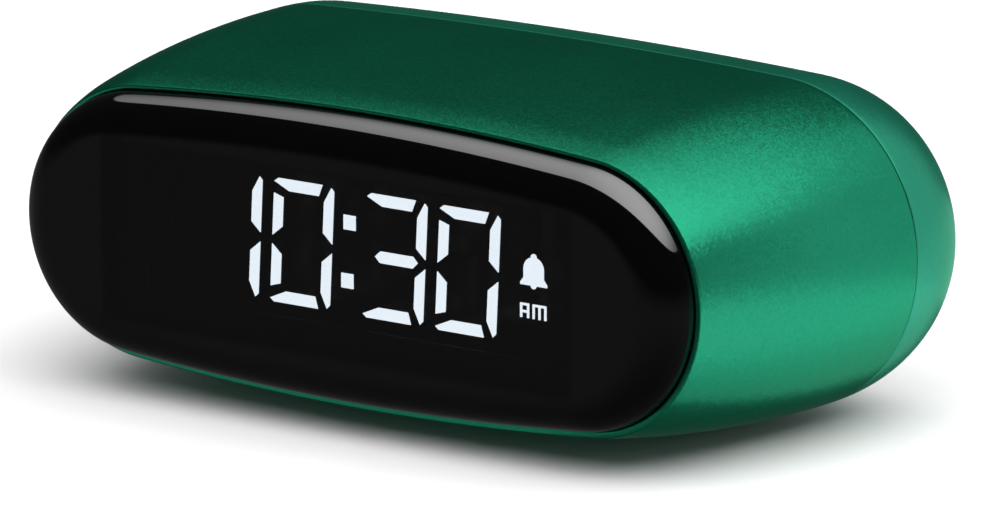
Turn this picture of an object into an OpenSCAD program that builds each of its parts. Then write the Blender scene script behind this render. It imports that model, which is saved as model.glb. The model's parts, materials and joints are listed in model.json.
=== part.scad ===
// Digital alarm clock with a barrel-shaped oval case and a proud front lens.
// Millimetres. +Z is up and the lens faces -Y. The feet stand on z = 0.
// Inside the modules, y is the depth behind the front edge of the case and z is the height
// above its middle; place() moves both into the object's frame.

/* [Case] */
// Width at the seam, where the case is widest
case_width = 92; // [84:0.5:104]
// Height at the seam
case_height = 35.2; // [31.5:0.1:42]
// Radius of the round ends at the seam
end_radius = 17; // [15.5:0.1:17.2]
// How much narrower each side is at the front edge
front_narrowing = 4.1; // [2.5:0.1:5]
// How much lower the top and bottom are at the front edge
front_lowering = 2.1; // [1.2:0.1:2.6]
// How much tighter the round ends are at the front edge
front_tightening = 2.7; // [2.3:0.1:3.2]
// Depth from the front edge to the seam
shell_depth = 31; // [28:0.5:40]
// Depth of the rear cover behind the seam
rear_depth = 15; // [14:0.5:18]
// How far the outline draws in at the rear face
rear_draw_in = 11; // [9:0.5:11.5]
// Squareness of the rear rounding, 2 is an ellipse
rear_power = 2.2; // [2:0.1:2.8]
// Wall thickness of the shell and the rear cover
wall = 1.6; // [1.4:0.1:1.8]
// Length of the tongue that plugs the rear cover into the shell
tongue_length = 2.2; // [1.5:0.1:3]
// Width of the open seam line
seam_gap = 0.15; // [0.1:0.05:0.3]

/* [Lens] */
// Visible lip of the case round the lens
lip = 0.9; // [0.7:0.1:1.2]
// How far the lens stands out of the case
lens_proud = 4.6; // [4.4:0.1:6]
// Radius of the lens rim
lens_rim_radius = 4.2; // [3:0.1:4.3]
// Thickness of the lens
lens_wall = 1.8; // [1.4:0.1:2]
// Gap between the lens and the lip
lens_gap = 0.1; // [0.08:0.01:0.2]
// Depth of the pocket that the lens sits in
lens_pocket = 2.5; // [2:0.1:3]
// Thickness of the adhesive ring under the lens
seal_thickness = 0.2; // [0.1:0.05:0.4]

/* [Display] */
// Width of the liquid crystal cell
lcd_width = 52.8; // [47:0.2:59]
// Height of the liquid crystal cell
lcd_height = 18.2; // [16.4:0.2:20]
// Thickness of the liquid crystal cell
lcd_thickness = 2; // [1.6:0.1:2.4]
// Depth of the lit segments behind the case's front edge
display_depth = 1.5; // [1.2:0.1:2]
// Height of a digit
digit_height = 12.8; // [10:0.1:13]
// Width of a digit
digit_width = 7.55; // [6.5:0.05:7.8]
// Stroke of a digit's segments
digit_stroke = 1.2; // [0.9:0.05:1.5]
// Thickness of the light guide
guide_thickness = 2.2; // [1.8:0.1:2.6]

/* [Batteries] */
// Diameter of a cell
cell_diameter = 10.5; // [10:0.1:10.6]
// Length of a cell with its button
cell_length = 44.5; // [43:0.1:45]
// Length that a contact spring fills
spring_length = 4.25; // [3.5:0.05:5]
// Wall of the battery bay
bay_wall = 1.2; // [1:0.1:1.3]

/* [Controls] */
// Diameter of a setting button
button_diameter = 4.4; // [4:0.1:4.6]
// Spacing of the setting buttons
button_pitch = 6.6; // [6.5:0.1:7]
// Travel of a setting button
button_travel = 0.5; // [0.3:0.05:0.55]
// How far the buttons and the slider stand out of the rear face
button_proud = 0.8; // [0.6:0.05:1.2]
// Travel of the alarm slider
slider_travel = 3; // [2:0.1:3.2]

/* [Feet] */
// Diameter of a foot
foot_diameter = 6; // [5:0.5:9]
// Clear height between the lowest point of the case and the floor
floor_clearance = 0.5; // [0.4:0.1:1.5]

/* [Hidden] */
$fn = 48;

// Smoothness of the case: steps round an end, along the top, and along the depth
end_steps = 20;
top_steps = 8;
shell_steps = 8;
rear_steps = 9;
rim_steps = 7;
rear_first_angle = 12;

// Clearances
slip = 0.1;
fit = 0.2;
running = 0.15;

// Case stations
rear_face = shell_depth + rear_depth;
tongue_margin = 0.05;
tongue_inset = wall / 2 + slip + tongue_margin;
crown_rise = 0.5;
ledge_thickness = 1.5;
ledge_back = lens_pocket + ledge_thickness;
ledge_reach = 0.4;
ledge_inset = lip + lens_gap + lens_wall + ledge_reach;
overall_depth = lens_proud + rear_face + button_proud;
edge_y = lens_proud - overall_depth / 2;
mid_z = case_height / 2 + floor_clearance;

// Display stack, front to back
segment_thickness = 0.1;
lcd_front = display_depth + segment_thickness;
lcd_back = lcd_front + lcd_thickness;
sheet_thickness = 0.3;
foil_thickness = 0.2;
guide_front = lcd_back + sheet_thickness;
guide_back = guide_front + guide_thickness;
reflector_back = guide_back + foil_thickness;
board_gap = 0.7;
board_front = reflector_back + board_gap;
board_thickness = 1.2;
board_back = board_front + board_thickness;
holder_wall = 1.2;
holder_lip = 0.6;
holder_cover = 1.4;
zebra_height = 1.2;
zebra_margin = 6.4;
zebra_length = lcd_width - 2 * zebra_margin;
led_size = 1.3;
led_height = 3;
led_depth = 2.8;
board_height = 22;
board_corner = 1;

// Digits and icons on the display
time_x = -2.75;
pair_offset = 10.4;
digit_pitch = 9.08;
digit_lean = 0.05;
colon_dot = 1.5;
colon_offset = 3;
icon_margin = 6.07;
icon_x = lcd_width / 2 - icon_margin;
bell_width = 3.3;
bell_base = -0.28;
letter_height = 1.48;
letter_stroke = 0.24;
letter_gap = 0.44;
a_pitch = 0.85;
m_pitch = 0.72;
letter_bottom = -3.63;

// Chassis and its fasteners
chassis_room = 4.8;
chassis_front = board_back + chassis_room;
chassis_thickness = 1.6;
chassis_back = chassis_front + chassis_thickness;
chassis_gap = 0.6;
chassis_ease = 1;
boss_radius = 2.5;
boss_bite = 0.5;
boss_angle = 25;
boss_radial = end_r(ledge_back) - wall - boss_radius + boss_bite;
boss_x = end_centre(ledge_back) + boss_radial * cos(boss_angle);
boss_h = boss_radial * sin(boss_angle);
pilot_radius = 0.9;
shank_radius = 0.8;
head_radius = 1.8;
head_thickness = 1;
head_slot = 0.4;
thread_length = 5;
pilot_spare = 1;
small_screw = 0.7;
small_thread = 3.5;
board_screw_gap = 0.9;
board_screw_x = lcd_width / 2 + fit + holder_wall + head_radius + board_screw_gap;
board_screw_h = 7;
board_edge = 2.5;
board_width = 2 * (board_screw_x + board_edge);
standoff_radius = 2.2;
sounder_radius = 9;
sounder_thickness = 5;
sounder_wall = 1.2;
sounder_mouth = 1.2;
sounder_mouth_depth = 1;

// Parts on the back of the main board
chip_x = -8;
chip_h = 1;
chip_radius = 5;
chip_thickness = 0.8;
chip_cap_radius = 3.6;
chip_cap_thickness = 0.6;
crystal_x = 4;
crystal_h = 3;
crystal_radius = 1;
crystal_length = 6;
capacitor_x = 4;
capacitor_h = -4;
capacitor_pitch = 5.5;
capacitor_radius = 2;
capacitor_length = 4;

// Battery bay and door
cell_setback = 8.25;
cell_axis = rear_face - cell_setback;
cell_gap = 0.1;
contact_sheet = 0.4;
contact_gap = 0.05;
bay_width = cell_length + spring_length + 2 * contact_sheet + 3 * contact_gap;
bay_ease = 0.6;
bay_height = 2 * cell_diameter + bay_ease;
cell_h = bay_height / 4;
bay_floor = cell_axis - cell_diameter / 2 - cell_gap;
bay_floor_thickness = 1.4;
bay_front = bay_floor - bay_floor_thickness;
bay_side = bay_width / 2 + bay_wall;
door_ledge = 1.6;
door_edge = 1.2;
door_width = bay_width + 2 * door_ledge;
door_height = bay_height + 2 * door_ledge;
door_seat = rear_surface(door_width / 2, door_height / 2) - door_edge;
door_corner = 2.4;
door_skin = 2.4;
door_rib_length = 40;
door_rib = 1;
door_rib_reach = 1.5;
scoop_radius = 5;
scoop_depth = 0.8;
flange_rim = 1.2;
flange_depth = 2;
flange_front = door_seat - flange_depth;
contact_reach = 8;
contact_depth = 9;
tab_width = 3;
tab_reach = 1.2;
spring_base_radius = 3.6;
spring_tip_radius = 2.4;
nub_radius = 1.9;
nub_length = 0.9;
lead_radius = 0.6;
lead_gap = 0.1;
cover_post_x = 16;
cover_post_radius = 3;
cover_head_recess = 1;

// Rear controls
control_setback = 7.4;
control_board_width = 5.8;
control_board_front = rear_face - control_setback;
control_board_back = control_board_front + board_thickness;
control_share = 0.3;
control_room = half_w(shell_depth) - rear_inset(control_board_back) - wall - bay_side;
control_x = bay_side + control_share * control_room;
flange_lap = 0.5;
flange_radius = button_diameter / 2 + flange_lap;
flange_setback = 0.95;
flange_back = rear_face - wall - flange_setback;
flange_thickness = 0.8;
collar_wall = 0.8;
collar_radius = button_diameter / 2 + fit + collar_wall;
control_post_radius = 1.4;
control_post_h = button_pitch + flange_radius + running + control_post_radius;
control_board_height = 2 * (control_post_h + small_screw * head_radius);
tact_width = 4.5;
tact_height = 2.2;
plunger_radius = 1.2;
plunger_base = 1.2;
slider_width = 2.6;
slider_length = 4.8;
slider_plate_width = 5;
slider_plate_length = 11.5;
slider_plate_gap = 0.5;
slider_plate_back = rear_face - wall - slider_plate_gap;
slider_plate_front = slider_plate_back - flange_thickness;
slider_rest = slider_travel / 2;
slider_stem = 1.6;
slider_groove = 0.4;
slider_groove_pitch = 1.3;
stem_reach = 1;
stem_pocket = 1.5;
switch_width = 4.4;
switch_length = 9.4;
switch_depth = 2.4;
ribbon_width = 6;
ribbon_thickness = 0.4;
ribbon_slot = 2;

// Feet, sound holes and touch plate
foot_x = 17;
foot_front = 20;
foot_setback = 4;
foot_rear = shell_depth + foot_setback;
foot_sink = 0.6;
sound_hole_radius = 0.7;
sound_hole_pitch = 3;
sound_hole_count = 5;
sound_hole_depth = 23;
touch_width = 14;
touch_back = 26;
touch_sheet = 0.3;
touch_gap = 0.5;
touch_tab_width = 4;
touch_tab_lap = 2;
touch_top = half_h(board_back) - wall - touch_gap;

// Case section at a depth: four tangent arcs, given by half width, half height and end radius
function flare(d) = d < 0 ? 1 : d > shell_depth ? 0 : pow((shell_depth - d) / shell_depth, 2);
function half_w(d) = case_width / 2 - front_narrowing * flare(d);
function half_h(d) = case_height / 2 - front_lowering * flare(d);
function end_r(d) = min(end_radius, case_height / 2 - crown_rise) - front_tightening * flare(d);
function end_centre(d) = half_w(d) - end_r(d);
function crown_r(a, b, r) = (pow(a - r, 2) + b * b - r * r) / (2 * (b - r));

// Points of one section, anticlockwise as seen from the front
function half_oval(a, b, r, big, turn) = concat(
    [for (i = [0 : end_steps])
        let (t = (90 - turn) * (2 * i / end_steps - 1)) [a - r + r * cos(t), r * sin(t)]],
    [for (j = [1 : top_steps - 1])
        let (t = turn * (1 - 2 * j / top_steps)) [big * sin(t), b - big + big * cos(t)]]);
function oval(a, b, r) = let (
    big = crown_r(a, b, r),
    turn = atan2(a - r, big - b),
    half = half_oval(a, b, r, big, turn)) concat(half, [for (p = half) -p]);

// One ring of a skin: depth, inset from the outside, and the depth whose section it follows
function ring(step) = let (d = step[0], inset = step[1], at = len(step) > 2 ? step[2] : d)
    [for (p = oval(half_w(at) - inset, half_h(at) - inset, end_r(at) - inset)) [p.x, d, p.y]];

// Rear rounding, a squared quarter ellipse given by an angle, pushed inwards by an offset
function rear_step(t, push) = let (
    c = pow(max(cos(t), 0), 2 / rear_power),
    s = pow(sin(t), 2 / rear_power),
    across = pow(c, rear_power - 1) / rear_draw_in,
    along = pow(s, rear_power - 1) / rear_depth,
    size = norm([across, along]))
    [shell_depth + rear_depth * s - push * along / size,
     rear_draw_in * (1 - c) + push * across / size,
     shell_depth];
function rear_angle(i) = rear_first_angle + (90 - rear_first_angle) * i / rear_steps;

// Outer surface: inset of a point from the seam's outline, and the depth of the rear there
function seam_inset(x, h) = let (
    xc = end_centre(shell_depth),
    round = end_r(shell_depth),
    big = crown_r(half_w(shell_depth), half_h(shell_depth), round))
    abs(x) > xc ? round - norm([abs(x) - xc, h])
                : big - norm([x, abs(h) + big - half_h(shell_depth)]);
function rear_surface(x, h) = let (u = min(max(seam_inset(x, h) / rear_draw_in, 0), 1))
    shell_depth + rear_depth * pow(1 - pow(1 - u, rear_power), 1 / rear_power);
function rear_inset(d) = let (s = max(d - shell_depth, 0) / rear_depth)
    rear_draw_in * (1 - pow(1 - pow(s, rear_power), 1 / rear_power));
function underside(x, d) = let (
    a = half_w(d) - rear_inset(d),
    b = half_h(d) - rear_inset(d),
    big = crown_r(a, b, end_r(d) - rear_inset(d)))
    big - b - sqrt(big * big - x * x);

// Closed skin through rings: a tube that meets its own start, or a solid capped at both ends
module skin(path, tube = false) {
    rings = [for (step = path) ring(step)];
    count = len(rings[0]);
    last = tube ? len(rings) : len(rings) - 1;
    sides = [for (k = [0 : last - 1], i = [0 : count - 1])
        let (a = k * count, b = ((k + 1) % len(rings)) * count, j = (i + 1) % count)
        each [[a + i, a + j, b + j], [a + i, b + j, b + i]]];
    front_cap = [for (i = [count - 1 : -1 : 0]) i];
    back_cap = [for (i = [0 : count - 1]) (len(rings) - 1) * count + i];
    points = [for (r = rings) each r];
    polyhedron(points, tube ? sides : concat(sides, [front_cap, back_cap]));
}

// Whole outside of the case as one solid, drawn in all round by an inset
module case_solid(inset = 0) {
    skin(concat(
        [[shell_depth - tongue_length, inset], [shell_depth, inset]],
        [for (i = [0 : rear_steps]) rear_step(rear_angle(i), inset)]));
}

module place() {
    translate([0, edge_y, mid_z]) children();
}

module block(x, d, h) {
    translate([x[0], d[0], h[0]]) cube([x[1] - x[0], d[1] - d[0], h[1] - h[0]]);
}

module rod(x, h, d, r) {
    translate([x, d[0], h]) rotate([-90, 0, 0]) cylinder(h = d[1] - d[0], r = r);
}

// Flat shape drawn in x and height, given depth
module slab(d) {
    translate([0, d[1], 0]) rotate([90, 0, 0]) linear_extrude(d[1] - d[0]) children();
}

module rounded_rectangle(w, h, r) {
    square([w - 2 * r, h], center = true);
    square([w, h - 2 * r], center = true);
    for (x = [-1, 1], y = [-1, 1]) translate([x * (w / 2 - r), y * (h / 2 - r)]) circle(r);
}

// Screw along the depth: the head sits on seat and the shank runs the way that dir points
module screw(x, h, seat, dir, shank, size = 1) {
    head = size * head_radius;
    thick = size * head_thickness;
    slot = size * head_slot;
    translate([x, seat, h]) rotate([dir > 0 ? -90 : 90, 0, 0]) {
        difference() {
            translate([0, 0, -thick]) cylinder(h = thick, r = head);
            for (turn = [0, 90]) rotate(turn)
                translate([-head * 0.6, -slot / 2, -thick - slip])
                    cube([head * 1.2, slot, thick / 2 + slip]);
        }
        cylinder(h = shank, r = size * shank_radius);
    }
}

// Case

module boss_places() {
    for (x = [-boss_x, boss_x], h = [-boss_h, boss_h]) translate([x, 0, h]) children();
}

module foot_places() {
    for (x = [-foot_x, foot_x], d = [foot_front, foot_rear]) translate([x, d, 0]) children();
}

// Flat seat of a foot, a little way up into the wall
function foot_top(d) = underside(foot_x, d) + foot_sink;

module foot_recesses(d) {
    for (x = [-foot_x, foot_x])
        translate([x, d, -mid_z]) cylinder(h = mid_z + foot_top(d), r = foot_diameter / 2 + slip);
}

module main_shell() {
    outer = [for (i = [0 : shell_steps]) [shell_depth * i / shell_steps, 0]];
    rabbet = shell_depth - tongue_length - fit;
    joint = [[shell_depth, tongue_inset - slip], [rabbet, tongue_inset - slip], [rabbet, wall]];
    inner = [for (i = [1 : shell_steps - 1])
        [rabbet + (ledge_back - rabbet) * i / shell_steps, wall]];
    ledge = [[ledge_back, wall], [ledge_back, ledge_inset], [lens_pocket, ledge_inset],
             [lens_pocket, lip, 0], [0, lip, 0]];
    color("seagreen") place() difference() {
        union() {
            skin(concat(outer, joint, inner, ledge), tube = true);
            boss_places() rod(0, 0, [ledge_back - slip, chassis_front], boss_radius);
        }
        boss_places()
            rod(0, 0, [chassis_front - thread_length - pilot_spare, chassis_front + slip], pilot_radius);
        foot_recesses(foot_front);
        for (i = [0 : sound_hole_count - 1])
            translate([(i - (sound_hole_count - 1) / 2) * sound_hole_pitch, sound_hole_depth, -mid_z])
                cylinder(h = mid_z - case_height / 4, r = sound_hole_radius);
    }
}

module door_outline(gap) {
    rounded_rectangle(door_width - 2 * gap, door_height - 2 * gap, door_corner - gap);
}

module finger_scoop() {
    h = door_height / 2;
    translate([0, rear_surface(0, h) + scoop_radius - scoop_depth, h]) sphere(scoop_radius);
}

module button_places() {
    for (i = [-1 : 1]) translate([control_x, 0, i * button_pitch]) children();
}

module control_post_places() {
    for (x = [-control_x, control_x], h = [-control_post_h, control_post_h])
        translate([x, 0, h]) children();
}

module rear_cover() {
    through = rear_face + 1;
    outer = [for (i = [0 : rear_steps]) rear_step(rear_angle(i), 0)];
    inner = [for (i = [rear_steps : -1 : 0]) rear_step(rear_angle(i), wall)];
    tip = shell_depth - tongue_length;
    joint = [[shell_depth, wall], [tip, wall], [tip, tongue_inset],
             [shell_depth + seam_gap, tongue_inset, shell_depth], [shell_depth + seam_gap, 0, shell_depth]];
    color("mediumseagreen") place() difference() {
        union() {
            skin(concat(inner, joint, outer));
            intersection() {
                case_solid(wall / 2);
                union() {
                    slab([flange_front, through])
                        square([door_width + 2 * flange_rim, door_height + 2 * flange_rim], center = true);
                    control_post_places() rod(0, 0, [control_board_back, through], control_post_radius);
                    button_places() rod(0, 0, [flange_back + running, through], collar_radius);
                }
            }
            slab([bay_front, door_seat])
                square([bay_width + 2 * bay_wall, bay_height + 2 * bay_wall], center = true);
        }
        slab([bay_floor, through]) square([bay_width, bay_height], center = true);
        slab([door_seat, through]) door_outline(0);
        finger_scoop();
        button_places() {
            rod(0, 0, [flange_back, through], button_diameter / 2 + fit);
            rod(0, 0, [flange_back - flange_thickness - button_travel - fit, flange_back + slip],
                flange_radius + fit);
        }
        translate([-control_x, 0, 0]) slab([slider_plate_front - fit, slider_plate_back + fit])
            square([slider_plate_width + 2 * fit, slider_plate_length + slider_travel + 2 * fit],
                   center = true);
        translate([-control_x, 0, 0]) slab([control_board_back, through])
            square([slider_width + 2 * fit, slider_length + slider_travel + 2 * fit], center = true);
        control_post_places()
            rod(0, 0, [control_board_back - slip, control_board_front + small_thread + slip],
                small_screw * pilot_radius);
        foot_recesses(foot_rear);
        for (x = [-cover_post_x, cover_post_x]) {
            rod(x, 0, [bay_front - slip, bay_floor + slip], shank_radius + fit);
            rod(x, 0, [bay_floor - cover_head_recess, bay_floor + slip], head_radius + fit);
        }
        contact_slots();
    }
}

// Push-fit door: its ribs slide into the mouth of the battery bay
module battery_door() {
    front = door_seat + slip;
    color("darkseagreen") place() difference() {
        union() {
            intersection() {
                case_solid();
                slab([front, rear_face + 1]) door_outline(fit);
            }
            for (side = [-1, 1])
                block([-door_rib_length / 2, door_rib_length / 2], [front - door_rib_reach, front + fit],
                      side > 0 ? [bay_height / 2 - running - door_rib, bay_height / 2 - running]
                               : [running - bay_height / 2, running + door_rib - bay_height / 2]);
        }
        slab([front - slip, rear_face - door_skin])
            square([bay_width - 2 * running, bay_height - 2 * (running + door_rib)], center = true);
        finger_scoop();
    }
}

module front_lens() {
    side = lip + lens_gap;
    start = lens_rim_radius - lens_proud;
    inner_radius = lens_rim_radius - lens_wall;
    seat = lens_pocket - seal_thickness;
    outer = [for (i = [0 : rim_steps]) let (t = 90 * (1 - i / rim_steps))
        [start - lens_rim_radius * sin(t), side + lens_rim_radius * (1 - cos(t)), 0]];
    inner = [for (i = [0 : rim_steps]) let (t = 90 * i / rim_steps)
        [start - inner_radius * sin(t), side + lens_wall + inner_radius * (1 - cos(t)), 0]];
    color("black") place()
        skin(concat(outer, [[seat, side, 0], [seat, side + lens_wall, 0]], inner));
}

module lens_seal() {
    low = lip + lens_gap + slip;
    high = lip + lens_gap + lens_wall - slip;
    seat = lens_pocket - seal_thickness;
    color("dimgray") place()
        skin([[seat, low, 0], [lens_pocket, low, 0], [lens_pocket, high, 0], [seat, high, 0]], tube = true);
}

// Display

module display_holder() {
    front = lcd_front - holder_lip - segment_thickness;
    hollow = [lcd_width + 2 * fit, lcd_height + 2 * fit];
    color("dimgray") place() difference() {
        intersection() {
            slab([front, board_front])
                rounded_rectangle(hollow.x + 2 * holder_wall, hollow.y + 2 * holder_wall, holder_wall);
            skin([[front, ledge_inset + fit, 0], [board_front, ledge_inset + fit, 0]]);
        }
        slab([lcd_front - segment_thickness, board_front + slip]) square(hollow, center = true);
        slab([front - slip, lcd_front])
            square([lcd_width - 2 * holder_cover, lcd_height - 2 * holder_cover], center = true);
    }
}

module display_sheet(d, side_margin) {
    block([side_margin - lcd_width / 2, lcd_width / 2 - side_margin], d,
          [zebra_height + fit - lcd_height / 2, lcd_height / 2]);
}

module lcd_cell() {
    color("darkslategray") place() slab([lcd_front, lcd_back])
        square([lcd_width, lcd_height], center = true);
}

module diffuser_sheet() {
    color("white") place() display_sheet([lcd_back, guide_front], 0);
}

module light_guide() {
    color("ivory") place() display_sheet([guide_front, guide_back], led_size + fit);
}

module reflector_sheet() {
    color("silver") place() display_sheet([guide_back, reflector_back], led_size + fit);
}

module backlight_leds() {
    inner = lcd_width / 2 - led_size;
    color("lightyellow") place() for (side = [-1, 1])
        translate([side * (inner + led_size / 2), 0, 0])
            block([-led_size / 2, led_size / 2], [board_front - led_depth, board_front],
                  [-led_height / 2, led_height / 2]);
}

module zebra_strip() {
    color("gray") place() block([-zebra_length / 2, zebra_length / 2], [lcd_back, board_front],
        [-lcd_height / 2, zebra_height - lcd_height / 2]);
}

// One of the seven segments, leaning with the digit. The bars run out over the left corners, the right
// uprights run up past the bars, and the left uprights stand between the bars.
module segment(name) {
    w = digit_width / 2;
    h = digit_height / 2;
    t = digit_stroke;
    bar = [[-w, h - 0.3 * t], [0.4 * t - w, h], [w - 1.25 * t, h],
           [w - 1.6 * t, h - t], [1.6 * t - w, h - t]];
    right = [[w - t, h - 1.45 * t], [w - 0.3 * t, h - 0.15 * t], [w, h - 0.45 * t],
             [w, 0.4 * t], [w - t, 1.25 * t]];
    left = [[-w, h - 1.33 * t], [t - w, h - 1.62 * t], [t - w, 1.2 * t], [-w, 0.38 * t]];
    middle = [[1.05 * t - w, 0], [1.6 * t - w, t / 2], [w - 1.3 * t, t / 2],
              [w - 0.8 * t, 0], [w - 1.3 * t, -t / 2], [1.6 * t - w, -t / 2]];
    shape = name == "a" || name == "d" ? bar : name == "b" || name == "c" ? right
          : name == "g" ? middle : left;
    flip = name == "c" || name == "d" || name == "e" ? -1 : 1;
    polygon([for (p = shape) [p.x + digit_lean * flip * p.y, flip * p.y]]);
}

module digit(x, lit) {
    translate([x, 0]) for (name = lit) segment(name);
}

module time_digits() {
    color("white") place() slab([display_depth, lcd_front]) {
        digit(time_x - pair_offset - digit_pitch / 2, "bc");
        digit(time_x - pair_offset + digit_pitch / 2, "abcdef");
        digit(time_x + pair_offset - digit_pitch / 2, "abcdg");
        digit(time_x + pair_offset + digit_pitch / 2, "abcdef");
        for (h = [-colon_offset, colon_offset])
            translate([time_x + digit_lean * h, h]) square(colon_dot, center = true);
    }
}

module alarm_icon() {
    half = bell_width / 2;
    dome = bell_width * 0.375;
    lip_height = bell_width * 0.07;
    color("white") place() slab([display_depth, lcd_front]) translate([icon_x, bell_base]) {
        translate([0, half]) circle(dome);
        polygon([[-half, lip_height], [half, lip_height], [dome, dome * 0.6], [dome, half],
                 [-dome, half], [-dome, dome * 0.6]]);
        translate([-half, 0]) square([bell_width, lip_height * 1.1]);
        translate([0, half + dome]) circle(dome * 0.28);
        circle(dome * 0.27);
    }
}

// Square letter: legs under one top bar
module letter_legs(x, legs, pitch) {
    for (i = [0 : legs - 1]) translate([x + i * pitch, letter_bottom])
        square([letter_stroke, letter_height]);
    translate([x, letter_bottom + letter_height - letter_stroke])
        square([(legs - 1) * pitch + letter_stroke, letter_stroke]);
}

module am_icon() {
    left = icon_x - bell_width / 2;
    color("white") place() slab([display_depth, lcd_front]) {
        letter_legs(left, 2, a_pitch);
        translate([left, letter_bottom + letter_height * 0.35])
            square([a_pitch + letter_stroke, letter_stroke]);
        letter_legs(left + a_pitch + letter_stroke + letter_gap, 3, m_pitch);
    }
}

// Main board

module board_screw_places() {
    for (x = [-board_screw_x, board_screw_x], h = [-board_screw_h, board_screw_h])
        translate([x, 0, h]) children();
}

module main_board() {
    color("darkgreen") place() difference() {
        slab([board_front, board_back]) rounded_rectangle(board_width, board_height, board_corner);
        boss_places() rod(0, 0, [board_front - slip, board_back + slip], boss_radius + fit);
        board_screw_places() rod(0, 0, [board_front - slip, board_back + slip], shank_radius + fit);
    }
}

module controller_chip() {
    top = board_back + chip_thickness;
    color("black") place() {
        rod(chip_x, chip_h, [board_back, top], chip_radius);
        rod(chip_x, chip_h, [top, top + chip_cap_thickness], chip_cap_radius);
    }
}

module timing_crystal() {
    color("silver") place() translate([crystal_x, board_back + crystal_radius, crystal_h])
        rotate([0, 90, 0]) cylinder(h = crystal_length, r = crystal_radius);
}

module filter_capacitors() {
    color("navy") place() for (i = [0 : 2])
        rod(capacitor_x + i * capacitor_pitch, capacitor_h, [board_back, board_back + capacitor_length],
            capacitor_radius);
}

// Chassis: plate with standoffs towards the board and two posts towards the rear cover
module chassis() {
    radius = half_h(chassis_front) - wall - chassis_gap - chassis_ease;
    reach = half_w(chassis_front) - wall - chassis_gap - radius;
    color("slategray") place() difference() {
        union() {
            slab([chassis_front, chassis_back]) {
                square([2 * reach, 2 * radius], center = true);
                for (x = [-reach, reach]) translate([x, 0]) circle(radius);
            }
            board_screw_places() rod(0, 0, [board_back, chassis_front + slip], standoff_radius);
            for (x = [-cover_post_x, cover_post_x])
                rod(x, 0, [chassis_back - slip, bay_front], cover_post_radius);
            rod(0, 0, [chassis_back - slip, chassis_back + sounder_thickness / 2],
                sounder_radius + fit + sounder_wall);
        }
        rod(0, 0, [chassis_back, chassis_back + sounder_thickness], sounder_radius + fit);
        boss_places() rod(0, 0, [chassis_front - slip, chassis_back + slip], shank_radius + fit);
        board_screw_places() rod(0, 0, [board_back - slip, board_back + thread_length], pilot_radius);
        for (x = [-cover_post_x, cover_post_x])
            rod(x, 0, [bay_front - thread_length - pilot_spare, bay_front + slip], pilot_radius);
        for (x = [-control_x, control_x]) translate([x, 0, 0])
            block([-ribbon_slot / 2, ribbon_slot / 2], [chassis_front - slip, chassis_back + slip],
                  [-ribbon_width / 2 - fit, ribbon_width / 2 + fit]);
        lead_places() rod(0, 0, [chassis_front - slip, chassis_back + slip], lead_radius + fit);
    }
}

module sounder() {
    back = chassis_back + sounder_thickness;
    color("black") place() difference() {
        rod(0, 0, [chassis_back, back], sounder_radius);
        rod(0, 0, [back - sounder_mouth_depth, back + slip], sounder_mouth);
    }
}

// Copper strip under the top of the shell, soldered to the board by its bent tab
module touch_plate() {
    color("peru") place() {
        block([-touch_width / 2, touch_width / 2], [board_back, touch_back],
              [touch_top - touch_sheet, touch_top]);
        block([-touch_tab_width / 2, touch_tab_width / 2], [board_back, board_back + touch_sheet],
              [board_height / 2 - touch_tab_lap, touch_top]);
    }
}

// Batteries

// A cell along x with its button towards the side given
module cell(side, h) {
    start = side * (bay_width / 2 - contact_sheet - contact_gap);
    body_length = cell_length - nub_length;
    translate([start, cell_axis, h]) rotate([0, side > 0 ? -90 : 90, 0]) {
        translate([0, 0, nub_length]) cylinder(h = body_length, r = cell_diameter / 2);
        cylinder(h = nub_length + slip, r = nub_radius);
    }
}

module upper_cell() {
    color("goldenrod") place() cell(1, cell_h);
}

module lower_cell() {
    color("goldenrod") place() cell(-1, -cell_h);
}

// Contact sheet against an end wall of the bay
module contact_plate(side, low, high) {
    outer = bay_width / 2 - contact_gap;
    translate([side > 0 ? outer - contact_sheet : -outer, 0, 0])
        block([0, contact_sheet], [bay_floor, bay_floor + contact_depth], [low, high]);
}

// Contact spring, kept as the plain cone that its turns fill
module contact_spring(side, h) {
    start = side * (bay_width / 2 - contact_gap - contact_sheet);
    translate([start, cell_axis, h]) rotate([0, side > 0 ? -90 : 90, 0])
        cylinder(h = spring_length, r1 = spring_base_radius, r2 = spring_tip_radius);
}

// Solder tab through the floor of the bay
module contact_tab(h) {
    outer = bay_width / 2 - contact_gap;
    block([outer - contact_sheet, outer], [bay_front - tab_reach, bay_floor + slip],
          [h - tab_width / 2, h + tab_width / 2]);
}

module contact_slots() {
    outer = bay_width / 2 - contact_gap;
    for (h = [-cell_h, cell_h])
        block([outer - contact_sheet - slip, outer + contact_gap], [bay_front - slip, bay_floor + slip],
              [h - tab_width / 2 - slip, h + tab_width / 2 + slip]);
}

module battery_bridge() {
    color("lightgray") place() {
        contact_plate(-1, -cell_h - contact_reach / 2, cell_h + contact_reach / 2);
        contact_spring(-1, cell_h);
    }
}

module positive_contact() {
    color("lightgray") place() {
        contact_plate(1, cell_h - contact_reach / 2, cell_h + contact_reach / 2);
        contact_tab(cell_h);
    }
}

module negative_contact() {
    color("lightgray") place() {
        contact_plate(1, -cell_h - contact_reach / 2, contact_reach / 2 - cell_h);
        contact_spring(1, -cell_h);
        contact_tab(-cell_h);
    }
}

module lead_places() {
    x = bay_width / 2 - contact_gap - contact_sheet - lead_radius - contact_gap;
    for (h = [-cell_h, cell_h]) translate([x, 0, h]) children();
}

module battery_leads() {
    color("firebrick") place() lead_places() rod(0, 0, [board_back, bay_front - lead_gap], lead_radius);
}

// Rear controls

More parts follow.
